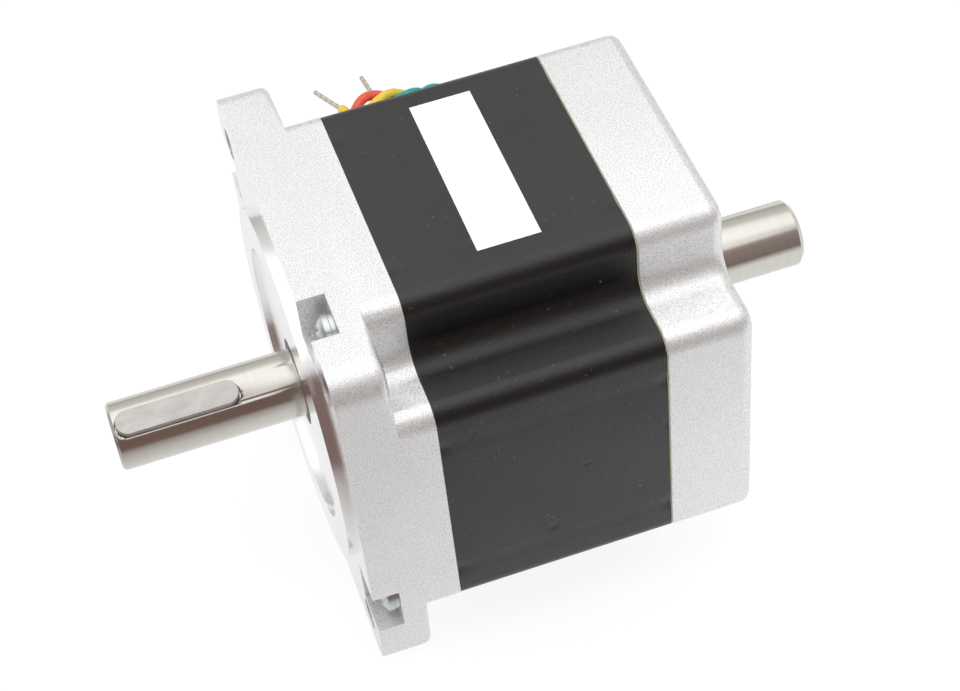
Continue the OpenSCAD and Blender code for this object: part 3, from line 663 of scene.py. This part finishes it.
sintered = Finish("sintered_magnet", (0.20, 0.20, 0.22), metallic=0.7, roughness=0.55)
sintered.link(sintered.bump(sintered.noise(1500, 3), 0.02 * MM, 0.5), "Normal")
tail = Finish("tail_insulation", (0.60, 0.56, 0.48), roughness=0.4)
tail.link(tail.bump(tail.noise(500, 2), 0.02 * MM, 0.4), "Normal")

# %% Give each inner node its finish
INNER = {
    "front_insulator": nylon, "rear_insulator": nylon, "stator_core": sheets,
    "front_rotor_stack": sheets, "rear_rotor_stack": sheets, "rotor_magnet": sintered,
    "wave_washer": strip, "lead_tails": tail}
for number in range(1, 9):
    INNER["coil_%d" % number] = copper
for end in ("front", "rear"):
    INNER[end + "_bearing_outer_ring"] = race
    INNER[end + "_bearing_inner_ring"] = race
    INNER[end + "_bearing_balls"] = race
    INNER[end + "_bearing_cage"] = strip
    INNER[end + "_bearing_shields"] = strip
for node, finish in INNER.items():
    nodes[node].data.materials.clear()
    nodes[node].data.materials.append(finish.material)
print("inner nodes with a finish:", len(INNER))

# %% [markdown]
# ## Floor and light
#
# The photograph was taken on white paper in soft light, and its metal tells where that light
# was. Each round edge runs from a bright band into a dark brown one: bright soft boxes hung
# overhead, and the dim room behind the camera filled the view to the right, up to fifty degrees.
# Lamps alone would leave the metal flat, and cards round the motor would spoil the views from
# other sides. So the lamps light the object, while rays that metal reflects see a painted room:
# a bright ceiling, a dim right side, and paper that darkens as it runs towards that side.

# %% Floor
FLOOR_Z = -HALF_W
FLOOR_HALF = 3.0
UNDER_MOTOR = 0.02 * MM
WHITE_SHARE = 0.8
SEEN_WHITE = 1.08
PAPER_GLOW = 0.9
FADE_TURN = -0.6
FADE_LENGTH = 0.4
DIM_ROOM = (0.20, 0.132, 0.115)
# The paper that metal reflects, from beside the motor to FADE_LENGTH metres away.
PAPER_FADE = [(0, (PAPER_GLOW,) * 3), (0.10, (0.78,) * 3), (0.24, (0.57, 0.55, 0.535)),
              (0.5, (0.40, 0.36, 0.345)), (1, DIM_ROOM)]

floor_mesh = bmesh.new()
bmesh.ops.create_grid(floor_mesh, x_segments=8, y_segments=8, size=FLOOR_HALF)
bmesh.ops.translate(floor_mesh, verts=floor_mesh.verts, vec=(0, 0, FLOOR_Z - UNDER_MOTOR))
floor_data = bpy.data.meshes.new("floor")
floor_mesh.to_mesh(floor_data)
floor_mesh.free()
floor = bpy.data.objects.new("floor", floor_data)
bpy.context.scene.collection.objects.link(floor)

paper = Finish("white_paper", (0.92, 0.92, 0.92), roughness=0.9)
floor_data.materials.append(paper.material)
print("floor:", 2 * FLOOR_HALF, "m wide")
path = paper.node("ShaderNodeLightPath").outputs
on_paper = paper.node("ShaderNodeSeparateXYZ", Vector=paper.place).outputs
away = calculate(paper.tree, "MULTIPLY_ADD", on_paper["Y"], FADE_TURN, on_paper["X"])
fading = paper.ramp(paper.spread(away, 0, 1, 0.0, FADE_LENGTH), PAPER_FADE)
seen = mix_colour(paper.tree, path["Is Camera Ray"], fading, (SEEN_WHITE,) * 3)
glow = paper.node("ShaderNodeEmission", Color=seen, Strength=1.0)
white = paper.spread(path["Is Camera Ray"], 0, WHITE_SHARE)
share = calculate(paper.tree, "MAXIMUM", white, path["Is Glossy Ray"])
blend = paper.node("ShaderNodeMixShader", Fac=share)
paper.tree.links.new(paper.shader.outputs[0], blend.inputs[1])
paper.tree.links.new(glow.outputs[0], blend.inputs[2])
paper.tree.links.new(blend.outputs[0], paper.tree.nodes["Material Output"].inputs["Surface"])

# %% World
WORLD_FILL = 0.42
# Both ramps run over the height of the view, as the sine of its angle.
CEILING = [(0.0, (0.36, 0.35, 0.335)), (0.60, (0.58, 0.57, 0.555)), (0.78, (0.92, 0.92, 0.91)),
           (0.88, (1.0, 1.0, 0.99))]
CEILING_GAIN = 1.35
DIM_EDGE = [(0.74, (1, 1, 1)), (0.785, (0.4, 0.4, 0.4)), (0.97, (0, 0, 0))]

world = bpy.data.worlds.new("room")
world.use_nodes = True
bpy.context.scene.world = world
sky = world.node_tree
path = add_node(sky, "ShaderNodeLightPath").outputs
direction = add_node(sky, "ShaderNodeTexCoord").outputs["Generated"]
view = add_node(sky, "ShaderNodeSeparateXYZ", Vector=direction).outputs
level = add_node(sky, "ShaderNodeCombineXYZ", X=view["X"], Y=view["Y"]).outputs[0]
unit = add_node(sky, "ShaderNodeVectorMath", {"operation": "NORMALIZE"}, Vector=level).outputs[0]
to_the_right = add_node(sky, "ShaderNodeSeparateXYZ", Vector=unit).outputs["X"]
rightward = map_value(sky, to_the_right, 0, 1, 0.15, 0.45)
to_the_front = map_value(sky, view["Y"], 1, 0.8, 0.08, 0.34)
below_boxes = colour_ramp(sky, view["Z"], DIM_EDGE)
dim = calculate(sky, "MULTIPLY", calculate(sky, "MULTIPLY", rightward, below_boxes), to_the_front)
ceiling = colour_ramp(sky, view["Z"], CEILING)
room = mix_colour(sky, dim, ceiling, tuple(c / CEILING_GAIN for c in DIM_ROOM))
background = sky.nodes["Background"]
lit = mix_colour(sky, path["Is Glossy Ray"], (1, 1, 1), room)
sky.links.new(mix_colour(sky, path["Is Camera Ray"], lit, (1, 1, 1)), background.inputs["Color"])
gain = map_value(sky, path["Is Glossy Ray"], WORLD_FILL, CEILING_GAIN)
strength = calculate(sky, "MAXIMUM", gain, path["Is Camera Ray"])
sky.links.new(strength, background.inputs["Strength"])
print("world:", len(sky.nodes), "nodes")

# %% Lamps


def softbox(name, place, target, size, power):
    """A square lamp that lights surfaces but does not show in metal."""
    lamp = bpy.data.lights.new(name, "AREA")
    lamp.shape = "SQUARE"
    lamp.size = size
    lamp.energy = power
    made = bpy.data.objects.new(name, lamp)
    made.matrix_world = look_at(Vector(place), Vector(target))
    made.visible_glossy = False
    bpy.context.scene.collection.objects.link(made)
    print(name, "gives", power, "W")


softbox("top_light", place=(-0.05, 0.15, 0.95), target=(0, 0.04, 0), size=0.9, power=5.5)
softbox("front_light", place=(-0.1, -0.85, 0.45), target=(0, 0, 0), size=0.6, power=2.5)
softbox("right_light", place=(0.75, 0.3, 0.45), target=(0, 0.05, 0), size=0.5, power=2.5)

# %% Set the view transform
bpy.context.scene.view_settings.view_transform = "Standard"
